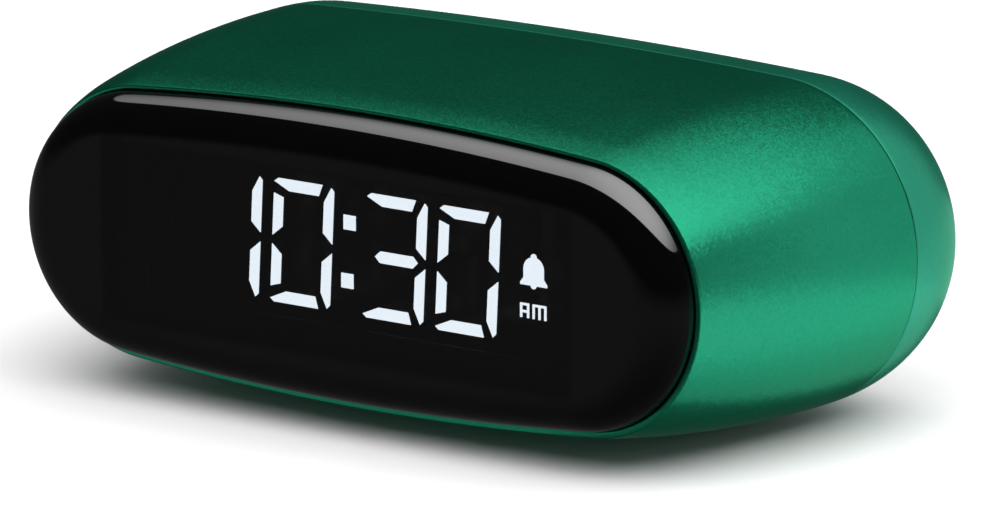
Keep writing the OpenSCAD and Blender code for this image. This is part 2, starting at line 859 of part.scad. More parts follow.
module control_board(side) {
    color("darkgreen") place() difference() {
        intersection() {
            translate([side * control_x, 0, 0]) slab([control_board_front, control_board_back])
                square([control_board_width, control_board_height], center = true);
            case_solid(wall + fit);
        }
        control_post_places()
            rod(0, 0, [control_board_front - slip, control_board_back + slip],
                small_screw * shank_radius + fit);
    }
}

module button_board() {
    control_board(1);
}

module switch_board() {
    control_board(-1);
}

module ribbon(side) {
    color("gainsboro") place() translate([side * control_x, 0, 0])
        block([-ribbon_thickness / 2, ribbon_thickness / 2], [board_back, control_board_front],
              [-ribbon_width / 2, ribbon_width / 2]);
}

module button_ribbon() {
    ribbon(1);
}

module switch_ribbon() {
    ribbon(-1);
}

module tact_switches() {
    top = control_board_back + tact_height;
    color("dimgray") place() button_places() difference() {
        slab([control_board_back, top]) square(tact_width, center = true);
        rod(0, 0, [top - plunger_base - button_travel - running, top + slip], plunger_radius + fit);
    }
}

// Setting button: cap through the rear cover, flange behind it
module setting_button(row) {
    color("darkgreen") place() translate([control_x, 0, row * button_pitch]) {
        rod(0, 0, [flange_back - flange_thickness, flange_back], flange_radius);
        rod(0, 0, [flange_back - slip, rear_face + button_proud], button_diameter / 2);
    }
}

module switch_plunger(row) {
    top = control_board_back + tact_height;
    color("black") place() translate([control_x, 0, row * button_pitch])
        rod(0, 0, [top - plunger_base, flange_back - flange_thickness], plunger_radius);
}

module set_button() {
    setting_button(1);
}

module plus_button() {
    setting_button(0);
}

module minus_button() {
    setting_button(-1);
}

module set_plunger() {
    switch_plunger(1);
}

module plus_plunger() {
    switch_plunger(0);
}

module minus_plunger() {
    switch_plunger(-1);
}

module alarm_switch() {
    top = control_board_back + switch_depth;
    color("silver") place() translate([-control_x, 0, 0]) difference() {
        slab([control_board_back, top]) square([switch_width, switch_length], center = true);
        slab([top - stem_pocket, top + slip])
            square([slider_stem + 2 * fit, slider_stem + slider_travel + 2 * fit], center = true);
    }
}

// Slider: ridged knob outside, plate behind the slot, stem into the switch. It rests in the on place.
module alarm_slider() {
    top = control_board_back + switch_depth;
    knob_back = rear_face + button_proud;
    color("whitesmoke") place() translate([-control_x, 0, slider_rest]) difference() {
        union() {
            slab([slider_plate_front, slider_plate_back])
                square([slider_plate_width, slider_plate_length], center = true);
            slab([slider_plate_back - slip, knob_back])
                square([slider_width, slider_length], center = true);
            slab([top - stem_reach, slider_plate_front + slip]) square(slider_stem, center = true);
        }
        for (i = [-1 : 1])
            translate([0, 0, i * slider_groove_pitch])
                block([-slider_width, slider_width], [knob_back - slider_groove, knob_back + slip],
                      [-slider_groove / 2, slider_groove / 2]);
    }
}

// Feet and screws

module rubber_feet() {
    color("black") place() for (x = [-foot_x, foot_x], d = [foot_front, foot_rear])
        translate([x, d, -mid_z]) cylinder(h = mid_z + foot_top(d), r = foot_diameter / 2);
}

module cover_screws() {
    color("silver") place() for (x = [-cover_post_x, cover_post_x])
        screw(x, 0, bay_floor - cover_head_recess, -1, thread_length);
}

module chassis_screws() {
    color("silver") place() for (x = [-boss_x, boss_x], h = [-boss_h, boss_h])
        screw(x, h, chassis_back, -1, thread_length);
}

module board_screws() {
    color("silver") place()
        for (x = [-board_screw_x, board_screw_x], h = [-board_screw_h, board_screw_h])
            screw(x, h, board_front, 1, thread_length);
}

module daughterboard_screws() {
    color("silver") place() for (x = [-control_x, control_x], h = [-control_post_h, control_post_h])
        screw(x, h, control_board_front, 1, small_thread, small_screw);
}

main_shell();
rear_cover();
battery_door();
front_lens();
lens_seal();
display_holder();
lcd_cell();
time_digits();
alarm_icon();
am_icon();
diffuser_sheet();
light_guide();
reflector_sheet();
backlight_leds();
zebra_strip();
main_board();
controller_chip();
timing_crystal();
filter_capacitors();
chassis();
sounder();
touch_plate();
upper_cell();
lower_cell();
battery_bridge();
positive_contact();
negative_contact();
battery_leads();
button_board();
switch_board();
button_ribbon();
switch_ribbon();
tact_switches();
set_button();
plus_button();
minus_button();
set_plunger();
plus_plunger();
minus_plunger();
alarm_switch();
alarm_slider();
rubber_feet();
cover_screws();
chassis_screws();
board_screws();
daughterboard_screws();
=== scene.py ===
"""Looks of a digital alarm clock: a barrel-shaped green case, a proud black lens and lit digits.

Sizes are millimetres until a mesh is made. A point is (x, depth, height): depth runs back from the
front edge of the case and height is measured from the middle of the case. Lights are placed in
metres, in the shared frame.
"""
import json
import math

import bmesh
import bpy
import numpy as np
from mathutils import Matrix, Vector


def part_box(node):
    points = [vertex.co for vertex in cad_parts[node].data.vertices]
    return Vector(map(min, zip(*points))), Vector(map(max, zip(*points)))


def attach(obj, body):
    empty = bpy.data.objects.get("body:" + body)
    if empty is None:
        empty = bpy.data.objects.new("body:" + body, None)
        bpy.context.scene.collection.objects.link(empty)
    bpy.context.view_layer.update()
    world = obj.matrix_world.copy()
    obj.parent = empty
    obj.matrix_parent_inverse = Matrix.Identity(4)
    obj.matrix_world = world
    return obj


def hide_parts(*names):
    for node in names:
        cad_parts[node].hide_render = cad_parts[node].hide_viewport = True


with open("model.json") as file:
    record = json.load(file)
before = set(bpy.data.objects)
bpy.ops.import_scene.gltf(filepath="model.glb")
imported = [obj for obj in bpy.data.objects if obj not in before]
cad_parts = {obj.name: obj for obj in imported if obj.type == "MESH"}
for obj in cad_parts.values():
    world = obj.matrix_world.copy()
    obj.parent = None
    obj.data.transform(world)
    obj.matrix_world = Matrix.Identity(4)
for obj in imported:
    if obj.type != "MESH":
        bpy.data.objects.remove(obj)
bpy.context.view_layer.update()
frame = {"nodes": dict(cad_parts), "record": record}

MM = 0.001
shell_low, shell_high = (np.array(corner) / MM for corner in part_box("main_shell"))
FRONT_EDGE = np.array([0.0, shell_low[1], (shell_low[2] + shell_high[2]) / 2])

# Case, as the solids have it
HALF_WIDTH = shell_high[0]
HALF_HEIGHT = (shell_high[2] - shell_low[2]) / 2
END_RADIUS = 17.0
NARROWING = 4.1
LOWERING = 2.1
TIGHTENING = 2.7
SEAM = 31.0
SEAM_GAP = 0.1
SEAM_EDGE = 0.12
REAR_DEPTH = 15.0
REAR_FACE = SEAM + REAR_DEPTH
CUTTER_END = REAR_FACE + 2
DRAW_IN = 11.0
REAR_POWER = 2.2
WALL = 1.6
RABBET = 2.4
RABBET_INSET = 0.85
TONGUE = 2.2
TONGUE_INSET = 0.95

# Front lip, eased down to the lens along its upper edge
LIP = 0.7
LIP_INNER_EDGE = 0.1
LIP_OUTER_EDGE = 0.16
EDGE_DROP = 0.3
EDGE_DEPTH = 4.0
EDGE_HEIGHT = 8.0

# Lens, and the pocket and ledge that hold it
LENS_PROUD = 4.6
LENS_RIM = 4.2
LENS_WALL = 1.8
LENS_SEAT = 2.3
LENS_GAP = 0.1
POCKET_DEPTH = 2.5
POCKET_RING = 0.9
LEDGE_BACK = 4.0
LEDGE_INSET = 3.2
WINDOW_HALF = np.array([29.0, 9.0])
WINDOW_FADE = 1.0

# Sound holes under the case
SOUND_HOLES = 5
SOUND_HOLE_RADIUS = 0.7
SOUND_HOLE_PITCH = 3.0
SOUND_HOLE_DEPTH = 23.0

# Battery bay, hatch, cells and contacts
BAY_HALF = np.array([24.85, 10.8])
BAY_CORNER = 0.5
BAY_FLOOR = 32.4
BAY_BASE = 1.4
BAY_WALL = 1.2
BAY_WALL_CORNER = 0.8
BAY_WALL_GAP = 0.3
HATCH_HALF = np.array([26.45, 12.4])
HATCH_CORNER = 2.4
HATCH_GAP = 0.2
HATCH_REBATE = 1.2
HATCH_EDGE = 0.35
HATCH_ROOF = 2.4
HATCH_HOLLOW = np.array([24.7, 9.65])
HATCH_FLAT = np.array([18.0, 4.0])
HATCH_LEDGE = 1.0
HATCH_LEDGE_CORNER = 2.0
HATCH_LEDGE_BASE = 2.0
HATCH_LEDGE_GAP = 0.35
RIB_HALF = np.array([20.0, 0.5])
RIB_CORNER = 0.45
RIB_HEIGHT = 10.15
RIB_REACH = 1.4
RIB_ROOT = 0.3
SCOOP_RADIUS = 5.0
SCOOP_DEPTH = 0.8
CELL_HEIGHT = 5.4
CELL_DEPTH = 37.75
CONTACT_ROOM = 0.45
CONTACT_INNER = 1.4
CONTACT_OUTER = 9.4
CONTACT_HALF_DEPTH = 4.5
CONTACT_CORNER = 1.0
SHEET = 0.4
SHEET_GAP = 0.05
SPRING_TURNS = 4.5
SPRING_WIRE = 0.26
SPRING_LENGTH = 4.2
SPRING_RADIUS = 3.3
SPRING_TAPER = 1.2

# Controls at the back
CONTROL_X = 31.05
CONTROL_TOP = REAR_FACE + 0.8
KEY_RADIUS = 2.2
KEY_FIT = 0.2
KEY_PITCH = 6.6
SIGN_BASE = 0.55
SIGN_TOP = 0.86
SIGN_LONG = 1.05
SIGN_SHORT = 0.2
SLOT_HALF = np.array([1.5, 4.1])
SLIDER_REST = 1.5
RIDGE_RADIUS = 0.34
RIDGE_PITCH = 1.3
RIDGE_HALF = 1.1

# Feet
FOOT_X = 17.0
FOOT_DEPTHS = (20.0, 35.0)
FOOT_RADIUS = 3.0
FOOT_EDGE = 0.4

# How finely the outlines are cut, and how close two points are when they are one
END_STEPS = 56
TOP_STEPS = 44
ROUND_STEPS = 64
HATCH_SIDE_STEPS = 24
SAME_POINT = 0.001


# Case section and surfaces


def flare(depth):
    """Square of the share of the way from the seam to the front edge, held at 0 and 1 outside."""
    return np.clip((SEAM - depth) / SEAM, 0, 1) ** 2


def crown_radius(reach, half_height, end_radius):
    """Radius of the shallow crown that meets round ends, a reach from the middle, without a corner."""
    return (reach**2 + half_height**2 - end_radius**2) / (2 * (half_height - end_radius))


def oval(half_width, half_height, end_radius):
    """Closed outline of four tangent arcs: two round ends joined by two wide shallow crowns."""
    reach = half_width - end_radius
    crown = crown_radius(reach, half_height, end_radius)
    turn = math.atan2(reach, crown - half_height)
    around = (math.pi / 2 - turn) * np.linspace(-1, 1, END_STEPS + 1)
    over = turn * np.linspace(1, -1, TOP_STEPS + 1)[1:-1]
    end = np.column_stack([reach + end_radius * np.cos(around), end_radius * np.sin(around)])
    top = np.column_stack([crown * np.sin(over), half_height - crown + crown * np.cos(over)])
    half = np.vstack([end, top])
    return np.vstack([half, -half])


def case_ring(depth, inset, section=None):
    """One outline of the case at a depth, drawn in by an inset, as points in space."""
    share = flare(depth if section is None else section)
    outline = oval(
        HALF_WIDTH - NARROWING * share - inset,
        HALF_HEIGHT - LOWERING * share - inset,
        END_RADIUS - TIGHTENING * share - inset,
    )
    return lift(outline, depth)


def rear_step(angle, push=0.0):
    """Depth and inset on the rear rounding, a squared quarter ellipse, pushed in along its normal."""
    across = math.cos(angle) ** (2 / REAR_POWER)
    along = math.sin(angle) ** (2 / REAR_POWER)
    normal = np.array([along ** (REAR_POWER - 1) / REAR_DEPTH, across ** (REAR_POWER - 1) / DRAW_IN])
    normal /= np.linalg.norm(normal)
    depth = SEAM + REAR_DEPTH * along - push * normal[0]
    inset = DRAW_IN * (1 - across) + push * normal[1]
    return depth, inset, SEAM


def rear_surface(x, height):
    """Depth of the rear rounding over a point, from how far the point lies inside the seam outline."""
    reach = HALF_WIDTH - END_RADIUS
    crown = crown_radius(reach, HALF_HEIGHT, END_RADIUS)
    at_end = END_RADIUS - np.hypot(np.abs(x) - reach, height)
    on_top = crown - np.hypot(x, np.abs(height) + crown - HALF_HEIGHT)
    inset = np.where(np.abs(x) > reach, at_end, on_top)
    share = np.clip(inset / DRAW_IN, 0, 1)
    return SEAM + REAR_DEPTH * (1 - (1 - share) ** REAR_POWER) ** (1 / REAR_POWER)


# Outlines and meshes


def lift(outline, depth):
    """Puts a flat outline of x and height at a depth, which may differ from point to point."""
    depths = np.broadcast_to(depth, len(outline))
    return np.column_stack([outline[:, 0], depths, outline[:, 1]])


def rounded_outline(half_x, half_y, radius, steps=10, side_steps=1):
    """Rectangle whose corners are quarter circles, anticlockwise, with its sides cut into equal steps."""
    turn = np.linspace(0, math.pi / 2, steps + 1)
    corner = np.column_stack([np.cos(turn), np.sin(turn)]) * radius
    corner += [half_x - radius, half_y - radius]
    flip = np.array([[1, 1], [-1, 1], [-1, -1], [1, -1]])
    quarters = [corner if k % 2 == 0 else corner[::-1] for k in range(4)]
    corners = np.array([quarter * sign for quarter, sign in zip(quarters, flip)])
    share = np.linspace(0, 1, side_steps, endpoint=False)[1:, None]
    side = np.roll(corners[:, 0], -1, axis=0) - corners[:, -1]
    sides = corners[:, -1][:, None] + share * side[:, None]
    return np.concatenate([corners, sides], axis=1).reshape(-1, 2)


def circle(radius, steps=ROUND_STEPS):
    """Circle of points, anticlockwise."""
    turn = np.linspace(0, 2 * math.pi, steps, endpoint=False)
    return np.column_stack([np.cos(turn), np.sin(turn)]) * radius


def arc(middle, radius, start, stop, steps=6):
    """Depth and inset pairs along a circular arc, angles in degrees from the depth axis."""
    turn = np.radians(np.linspace(start, stop, steps + 1))
    return [(middle[0] + radius * math.cos(t), middle[1] + radius * math.sin(t)) for t in turn]


def skin(rings, tube=False):
    """Joins a stack of equal outlines into quads, capped at both ends or joined into a tube."""
    rings = np.asarray(rings)
    rows, columns = rings.shape[:2]
    lower = np.arange(rows if tube else rows - 1)[:, None]
    upper = (lower + 1) % rows
    here = np.arange(columns)[None, :]
    beside = (here + 1) % columns
    low, high = lower * columns, upper * columns
    corners = [low + here, low + beside, high + beside, high + here]
    faces = np.stack(corners, axis=-1).reshape(-1, 4).tolist()
    if not tube:
        faces.append(list(range(columns))[::-1])
        faces.append(list(range((rows - 1) * columns, rows * columns)))
    return rings.reshape(-1, 3), faces


def together(*skins):
    """Several skins as one set of points and faces."""
    points, faces, start = [], [], 0
    for some_points, some_faces in skins:
        points.append(some_points)
        faces += [[start + corner for corner in face] for face in some_faces]
        start += len(some_points)
    return np.vstack(points), faces


def turned(profile, middle, axis):
    """Turns a profile of (place along the axis, radius) pairs about an axis: 0 is x, 1 depth, 2 height."""
    rings = []
    for place, radius in profile:
        ring = np.insert(circle(radius), axis, place, axis=1)
        rings.append(ring + middle)
    return skin(rings)


def mesh_object(name, shape, sharp=35):
    """Makes an object of a shape: moved into the frame, in metres, with its faces turned outwards."""
    points, faces = shape
    mesh = bpy.data.meshes.new(name)
    mesh.from_pydata(((points + FRONT_EDGE) * MM).tolist(), [], faces)
    thing = bpy.data.objects.new(name, mesh)
    bpy.context.collection.objects.link(thing)
    settle(thing, sharp)
    return thing


def settle(thing, sharp):
    """Merges doubled points, turns all faces outwards and shades them smooth up to an angle."""
    work = bmesh.new()
    work.from_mesh(thing.data)
    bmesh.ops.remove_doubles(work, verts=work.verts, dist=SAME_POINT * MM)
    bmesh.ops.recalc_face_normals(work, faces=work.faces)
    work.to_mesh(thing.data)
    work.free()
    thing.data.shade_smooth()
    thing.data.set_sharp_from_angle(angle=math.radians(sharp))


def carve(thing, shape, operation="DIFFERENCE", sharp=35):
    """Cuts a shape out of an object, or adds it, and leaves a plain mesh."""
    cutter = mesh_object("cutter", shape)
    step = thing.modifiers.new("carve", "BOOLEAN")
    step.operation = operation
    step.solver = "EXACT"
    step.object = cutter
    graph = bpy.context.evaluated_depsgraph_get()
    carved = bpy.data.meshes.new_from_object(thing.evaluated_get(graph))
    thing.modifiers.clear()
    thing.data = carved
    bpy.data.objects.remove(cutter, do_unlink=True)
    settle(thing, sharp)


def prism(outline, start, stop):
    """Outline of x and height carried straight from one depth to another."""
    return skin([lift(outline, start), lift(outline, stop)])


def finished(thing, body, slot, material, *nodes):
    """Gives a piece its material and its body, and hides the nodes that it stands for; the slot is not
    used.
    """
    thing.data.materials.clear()
    thing.data.materials.append(material)
    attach(thing, body)
    if nodes:
        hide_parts(*nodes)


# Shader groups


def new_group(name, inputs, outputs):
    """Empty shader group with float or vector sockets and its two end nodes."""
    group = bpy.data.node_groups.new(name, "ShaderNodeTree")
    for label, kind in inputs:
        group.interface.new_socket(label, in_out="INPUT", socket_type=kind)
    for label, kind in outputs:
        group.interface.new_socket(label, in_out="OUTPUT", socket_type=kind)
    return group, group.nodes.new("NodeGroupInput"), group.nodes.new("NodeGroupOutput")


def feed(tree, socket, source):
    """Links a socket to another one, or sets it where the source is a plain number or triple."""
    if isinstance(source, bpy.types.NodeSocket):
        tree.links.new(source, socket)
    else:
        socket.default_value = source


def math_node(tree, operation, *sources):
    """Number worked out from one or two sources."""
    node = tree.nodes.new("ShaderNodeMath")
    node.operation = operation
    for socket, source in zip(node.inputs, sources):
        feed(tree, socket, source)
    return node.outputs["Value"]


def vector_node(tree, operation, *sources):
    """Vector maths node with its first sources fed."""
    node = tree.nodes.new("ShaderNodeVectorMath")
    node.operation = operation
    for socket, source in zip(node.inputs, sources):
        feed(tree, socket, source)
    return node


def map_range(tree, value, start, stop, low=0.0, high=1.0, smooth=False):
    """Takes a value from one range to another, held at the ends."""
    node = tree.nodes.new("ShaderNodeMapRange")
    node.interpolation_type = "SMOOTHSTEP" if smooth else "LINEAR"
    ends = {"Value": value, "From Min": start, "From Max": stop, "To Min": low, "To Max": high}
    for label, source in ends.items():
        feed(tree, node.inputs[label], source)
    return node.outputs["Result"]


def noise_node(tree, vector, scale, detail):
    """Noise texture, as a share."""
    node = tree.nodes.new("ShaderNodeTexNoise")
    for label, source in {"Vector": vector, "Scale": scale, "Detail": detail}.items():
        feed(tree, node.inputs[label], source)
    return node.outputs["Fac"]


def moulded_grain_group():
    """Fine moulded skin and slow unevenness: a height for bump and a tone for colour and gloss."""
    group, start, end = new_group(
        "moulded_grain",
        [("Vector", "NodeSocketVector"), ("Grains per metre", "NodeSocketFloat")],
        [("Height", "NodeSocketFloat"), ("Tone", "NodeSocketFloat")],
    )
    fine = noise_node(group, start.outputs["Vector"], start.outputs["Grains per metre"], 2)
    slow = noise_node(group, start.outputs["Vector"], 60, 3)
    group.links.new(fine, end.inputs["Height"])
    group.links.new(slow, end.inputs["Tone"])
    return group


def flake_group():
    """Metal flakes in a lacquer: each small cell has its own brightness and its own tilt."""
    group, start, end = new_group(
        "metal_flakes",
        [
            ("Vector", "NodeSocketVector"),
            ("Flakes per metre", "NodeSocketFloat"),
            ("Tilt", "NodeSocketFloat"),
        ],
        [("Flake", "NodeSocketFloat"), ("Normal", "NodeSocketVector")],
    )
    cells = group.nodes.new("ShaderNodeTexVoronoi")
    group.links.new(start.outputs["Vector"], cells.inputs["Vector"])
    group.links.new(start.outputs["Flakes per metre"], cells.inputs["Scale"])
    split = group.nodes.new("ShaderNodeSeparateColor")
    group.links.new(cells.outputs["Color"], split.inputs["Color"])
    surface = group.nodes.new("ShaderNodeNewGeometry")
    centred = vector_node(group, "SUBTRACT", cells.outputs["Color"], (0.5, 0.5, 0.5))
    leaning = vector_node(group, "SCALE", centred.outputs["Vector"])
    feed(group, leaning.inputs["Scale"], start.outputs["Tilt"])
    tilted = vector_node(group, "ADD", surface.outputs["Normal"], leaning.outputs["Vector"])
    unit = vector_node(group, "NORMALIZE", tilted.outputs["Vector"])
    group.links.new(split.outputs["Red"], end.inputs["Flake"])
    group.links.new(unit.outputs["Vector"], end.inputs["Normal"])
    return group


def window_group():
    """Share from 0 in the display window to 1 on the printed border round it, by x and height."""
    group, start, end = new_group(
        "printed_border", [("Vector", "NodeSocketVector")], [("Border", "NodeSocketFloat")]
    )
    place = group.nodes.new("ShaderNodeSeparateXYZ")
    group.links.new(start.outputs["Vector"], place.inputs["Vector"])
    fades = []
    for axis, middle, half in zip("XZ", (0.0, FRONT_EDGE[2]), WINDOW_HALF):
        away = math_node(group, "ABSOLUTE", math_node(group, "SUBTRACT", place.outputs[axis], middle * MM))
        fades.append(map_range(group, away, half * MM, (half + WINDOW_FADE) * MM, smooth=True))
    group.links.new(math_node(group, "MAXIMUM", *fades), end.inputs["Border"])
    return group


GRAIN = moulded_grain_group()
FLAKES = flake_group()
WINDOW = window_group()


def use_group(tree, group, **settings):
    """Places a group in a material, fed by the object's own coordinates."""
    place = tree.nodes.new("ShaderNodeTexCoord")
    node = tree.nodes.new("ShaderNodeGroup")
    node.node_tree = group
    for label, value in settings.items():
        node.inputs[label.replace("_", " ")].default_value = value
    tree.links.new(place.outputs["Object"], node.inputs["Vector"])
    return node


def mixed_color(tree, share, low, high):
    """Colour between two ends by a share."""
    mix = tree.nodes.new("ShaderNodeMix")
    mix.data_type = "RGBA"
    colours = [socket for socket in mix.inputs if socket.type == "RGBA"]
    colours[0].default_value = (*low, 1)
    colours[1].default_value = (*high, 1)
    tree.links.new(share, mix.inputs["Factor"])
    return next(socket for socket in mix.outputs if socket.type == "RGBA")


def ranged(tree, share, low, high):
    """Number between two ends by a noise, whose values lie mostly between 0.3 and 0.7."""
    return map_range(tree, share, 0.3, 0.7, low, high)


def bumped(tree, height, distance, strength):
    """Bump from a height, its depth in millimetres."""
    node = tree.nodes.new("ShaderNodeBump")
    node.inputs["Distance"].default_value = distance * MM
    node.inputs["Strength"].default_value = strength
    tree.links.new(height, node.inputs["Height"])
    return node.outputs["Normal"]


def new_material(name, **settings):
    """Material with one Principled shader, whose named sockets are set directly."""
    material = bpy.data.materials.new(name)
    material.use_nodes = True
    shader = material.node_tree.nodes["Principled BSDF"]
    for label, value in settings.items():
        shader.inputs[label.replace("_", " ")].default_value = value
    return material, material.node_tree, shader


def plain_finish(name, colour, gloss, grains=6000, depth=0.02, uneven=0.12, **settings):
    """Moulded or plated surface: colour and gloss vary slowly, and fine grain gives the bump."""
    material, tree, shader = new_material(name, **settings)
    grain = use_group(tree, GRAIN, Grains_per_metre=grains)
    low, high = (tuple(min(1, c * k) for c in colour) for k in (1 - uneven, 1 + uneven))
    tree.links.new(mixed_color(tree, grain.outputs["Tone"], low, high), shader.inputs["Base Color"])
    tree.links.new(ranged(tree, grain.outputs["Tone"], *gloss), shader.inputs["Roughness"])
    tree.links.new(bumped(tree, grain.outputs["Height"], depth, 0.5), shader.inputs["Normal"])
    return material


def green_lacquer(name, dark, bright, gloss, tilt, **settings):
    """Metallic green under a thin clear coat: flakes differ in brightness and tilt cell by cell."""
    material, tree, shader = new_material(name, **settings)
    flakes = use_group(tree, FLAKES, Flakes_per_metre=5500, Tilt=tilt)
    grain = use_group(tree, GRAIN, Grains_per_metre=3000)
    tree.links.new(mixed_color(tree, flakes.outputs["Flake"], dark, bright), shader.inputs["Base Color"])
    tree.links.new(ranged(tree, grain.outputs["Tone"], *gloss), shader.inputs["Roughness"])
    tree.links.new(flakes.outputs["Normal"], shader.inputs["Normal"])
    return material


def smoked_lens(name, colour, gloss, window_alpha, **settings):
    """Black lens printed solid on its inside, with a smoked window left over the display."""
    material = plain_finish(name, colour, gloss, grains=700, depth=0.001, **settings)
    tree = material.node_tree
    alpha = map_range(tree, use_group(tree, WINDOW).outputs["Border"], 0.0, 1.0, low=window_alpha)
    tree.links.new(alpha, tree.nodes["Principled BSDF"].inputs["Alpha"])
    return material


def lit_segments(name, low, high, strength):
    """Lit display segment: an even white that drifts slightly with the sheet behind it."""
    material, tree, shader = new_material(name, Emission_Strength=strength, Roughness=0.4)
    shader.inputs["Base Color"].default_value = (0, 0, 0, 1)
    grain = use_group(tree, GRAIN, Grains_per_metre=900)
    tree.links.new(mixed_color(tree, grain.outputs["Tone"], low, high), shader.inputs["Emission Color"])
    return material


GREEN_EDGE = (0.2, 0.9, 0.6, 1)
case_green = green_lacquer(
    "case_green", (0.007, 0.215, 0.115), (0.01, 0.25, 0.135), (0.285, 0.32), 0.1,
    Metallic=0.88, Specular_Tint=GREEN_EDGE, Coat_Weight=0.12, Coat_Roughness=0.3,
)
cover_green = green_lacquer(
    "cover_green", (0.016, 0.24, 0.15), (0.02, 0.265, 0.165), (0.32, 0.38), 0.06,
    Metallic=0.74, Specular_Tint=GREEN_EDGE, Coat_Weight=0.12, Coat_Roughness=0.3,
)
key_green = plain_finish("key_green", (0.012, 0.15, 0.09), (0.38, 0.5))
lens_black = smoked_lens("lens_black", (0.0008, 0.0008, 0.0008), (0.03, 0.06), 0.75, IOR=1.5)
white_light = lit_segments("white_light", (0.76, 0.84, 0.93), (0.82, 0.9, 0.97), 15.9)

SLOT_FINISH = {
    "green_case": case_green,
    "black_lens": lens_black,
    "green_button": key_green,
    "lit_white": white_light,
    "black_rubber": plain_finish("soft_rubber", (0.014, 0.014, 0.014), (0.7, 0.85), depth=0.04),
    "black_plastic": plain_finish("black_plastic", (0.013, 0.013, 0.014), (0.45, 0.6)),
    "display_glass": plain_finish("display_glass", (0.003, 0.003, 0.004), (0.05, 0.1), depth=0.002),
    "white_plastic": plain_finish("white_plastic", (0.75, 0.75, 0.73), (0.5, 0.6)),
    "clear_plastic": plain_finish("light_guide", (0.6, 0.64, 0.64), (0.1, 0.2), depth=0.002),
    "circuit_board": plain_finish("solder_mask", (0.012, 0.09, 0.04), (0.3, 0.45), grains=2500),
    "bright_metal": plain_finish("plated_metal", (0.62, 0.62, 0.6), (0.25, 0.4), Metallic=0.9),
    "grey_plastic": plain_finish("grey_plastic", (0.2, 0.2, 0.21), (0.5, 0.6)),
    "copper": plain_finish("copper_sheet", (0.6, 0.28, 0.14), (0.3, 0.45), Metallic=0.9),
    "cell_jacket": plain_finish("cell_jacket", (0.02, 0.022, 0.026), (0.3, 0.4), depth=0.004),
    "lead_jacket": plain_finish("lead_jacket", (0.35, 0.02, 0.016), (0.45, 0.55)),
    "screw_steel": plain_finish("screw_steel", (0.45, 0.45, 0.46), (0.3, 0.45), Metallic=0.9),
}

slot_of = {row["node"]: row["material_slot"] for row in frame["record"]["subparts"]}
for node, thing in frame["nodes"].items():
    for holder in thing.material_slots:
        holder.material = SLOT_FINISH[slot_of[node]]


# Case and lens


def eased_edge(ring):
    """Lowers the upper front edge by the squared share of the way forward and a smooth step of height."""
    forward = np.clip(1 - ring[:, 1] / EDGE_DEPTH, 0, 1) ** 2
    above = np.clip(ring[:, 2] / EDGE_HEIGHT, 0, 1)
    lower = EDGE_DROP * forward * above**2 * (3 - 2 * above)
    return ring - lower[:, None] * [0, 0, 1]


def shell_shape():
    """Tube through case outlines: lens pocket, rounded lip, flared outside, rounded seam, inside."""
    pocket = [(POCKET_DEPTH, LIP), (POCKET_RING, LIP)]
    inner_edge = arc((LIP_INNER_EDGE, LIP - LIP_INNER_EDGE), LIP_INNER_EDGE, 90, 180, 4)
    outer_edge = arc((LIP_OUTER_EDGE, LIP_OUTER_EDGE), LIP_OUTER_EDGE, 180, 270, 6)
    outside = [(depth, 0.0) for depth in np.linspace(0.4, EDGE_DEPTH, 10)]
    outside += [(depth, 0.0) for depth in np.linspace(EDGE_DEPTH + 0.7, SEAM - 0.7, 36)]
    seam_edge = arc((SEAM - SEAM_EDGE, SEAM_EDGE), SEAM_EDGE, 270, 360, 4)
    rabbet = [(SEAM, RABBET_INSET), (SEAM - RABBET, RABBET_INSET), (SEAM - RABBET, WALL)]
    inside = [(depth, WALL) for depth in np.linspace(SEAM - 5, LEDGE_BACK, 12)]
    ledge = [(LEDGE_BACK, LEDGE_INSET), (POCKET_DEPTH, LEDGE_INSET)]
    at_front = [case_ring(*step, section=0) for step in pocket + inner_edge]
    shown = [eased_edge(case_ring(*step)) for step in outer_edge + outside]
    hidden = [case_ring(*step) for step in seam_edge + rabbet + inside + ledge]
    return skin(at_front + shown + hidden, tube=True)


def cover_shape():
    """Cup through case outlines: inside, tongue, rounded seam edge and the squared rear rounding."""
    angles = np.radians(np.linspace(2, 90, 34))
    inside = [rear_step(angle, WALL) for angle in angles[::-3]]
    tongue = [(SEAM, WALL), (SEAM - TONGUE, WALL)]
    tongue += [(SEAM - TONGUE, TONGUE_INSET), (SEAM + SEAM_GAP, TONGUE_INSET)]
    seam_edge = arc((SEAM + SEAM_GAP + SEAM_EDGE, SEAM_EDGE), SEAM_EDGE, 180, 270, 4)
    outside = [rear_step(angle) for angle in angles]
    rings = [case_ring(*step) for step in inside]
    rings += [case_ring(*step, section=SEAM) for step in tongue + seam_edge]
    return skin(rings + [case_ring(*step) for step in outside])


def lens_shape():
    """Cup with a flat front: quarter-round rim outside and inside, straight sides into the pocket."""
    side = LIP + LENS_GAP
    start = LENS_RIM - LENS_PROUD
    inner = LENS_RIM - LENS_WALL
    quarter = np.radians(np.linspace(90, 0, 25))
    outside = [(start - LENS_RIM * math.sin(t), side + LENS_RIM * (1 - math.cos(t))) for t in quarter]
    seat = [(LENS_SEAT, side), (LENS_SEAT, side + LENS_WALL)]
    hollow = [
        (start - inner * math.sin(t), side + LENS_WALL + inner * (1 - math.cos(t))) for t in quarter[::-2]
    ]
    return skin([case_ring(*step, section=0) for step in outside + seat + hollow])


def ball(middle, radius):
    """Sphere as a stack of circles along its depth, cut flat just short of its poles."""
    turn = np.linspace(0.02, math.pi - 0.02, 25)
    return turned([(-radius * math.cos(t), radius * math.sin(t)) for t in turn], middle, 1)


def finger_scoop():
    """Shallow ball-shaped hollow over the top edge of the hatch."""
    height = HATCH_HALF[1]
    depth = rear_surface(0, height) + SCOOP_RADIUS - SCOOP_DEPTH
    return ball(np.array([0, depth, height]), SCOOP_RADIUS)


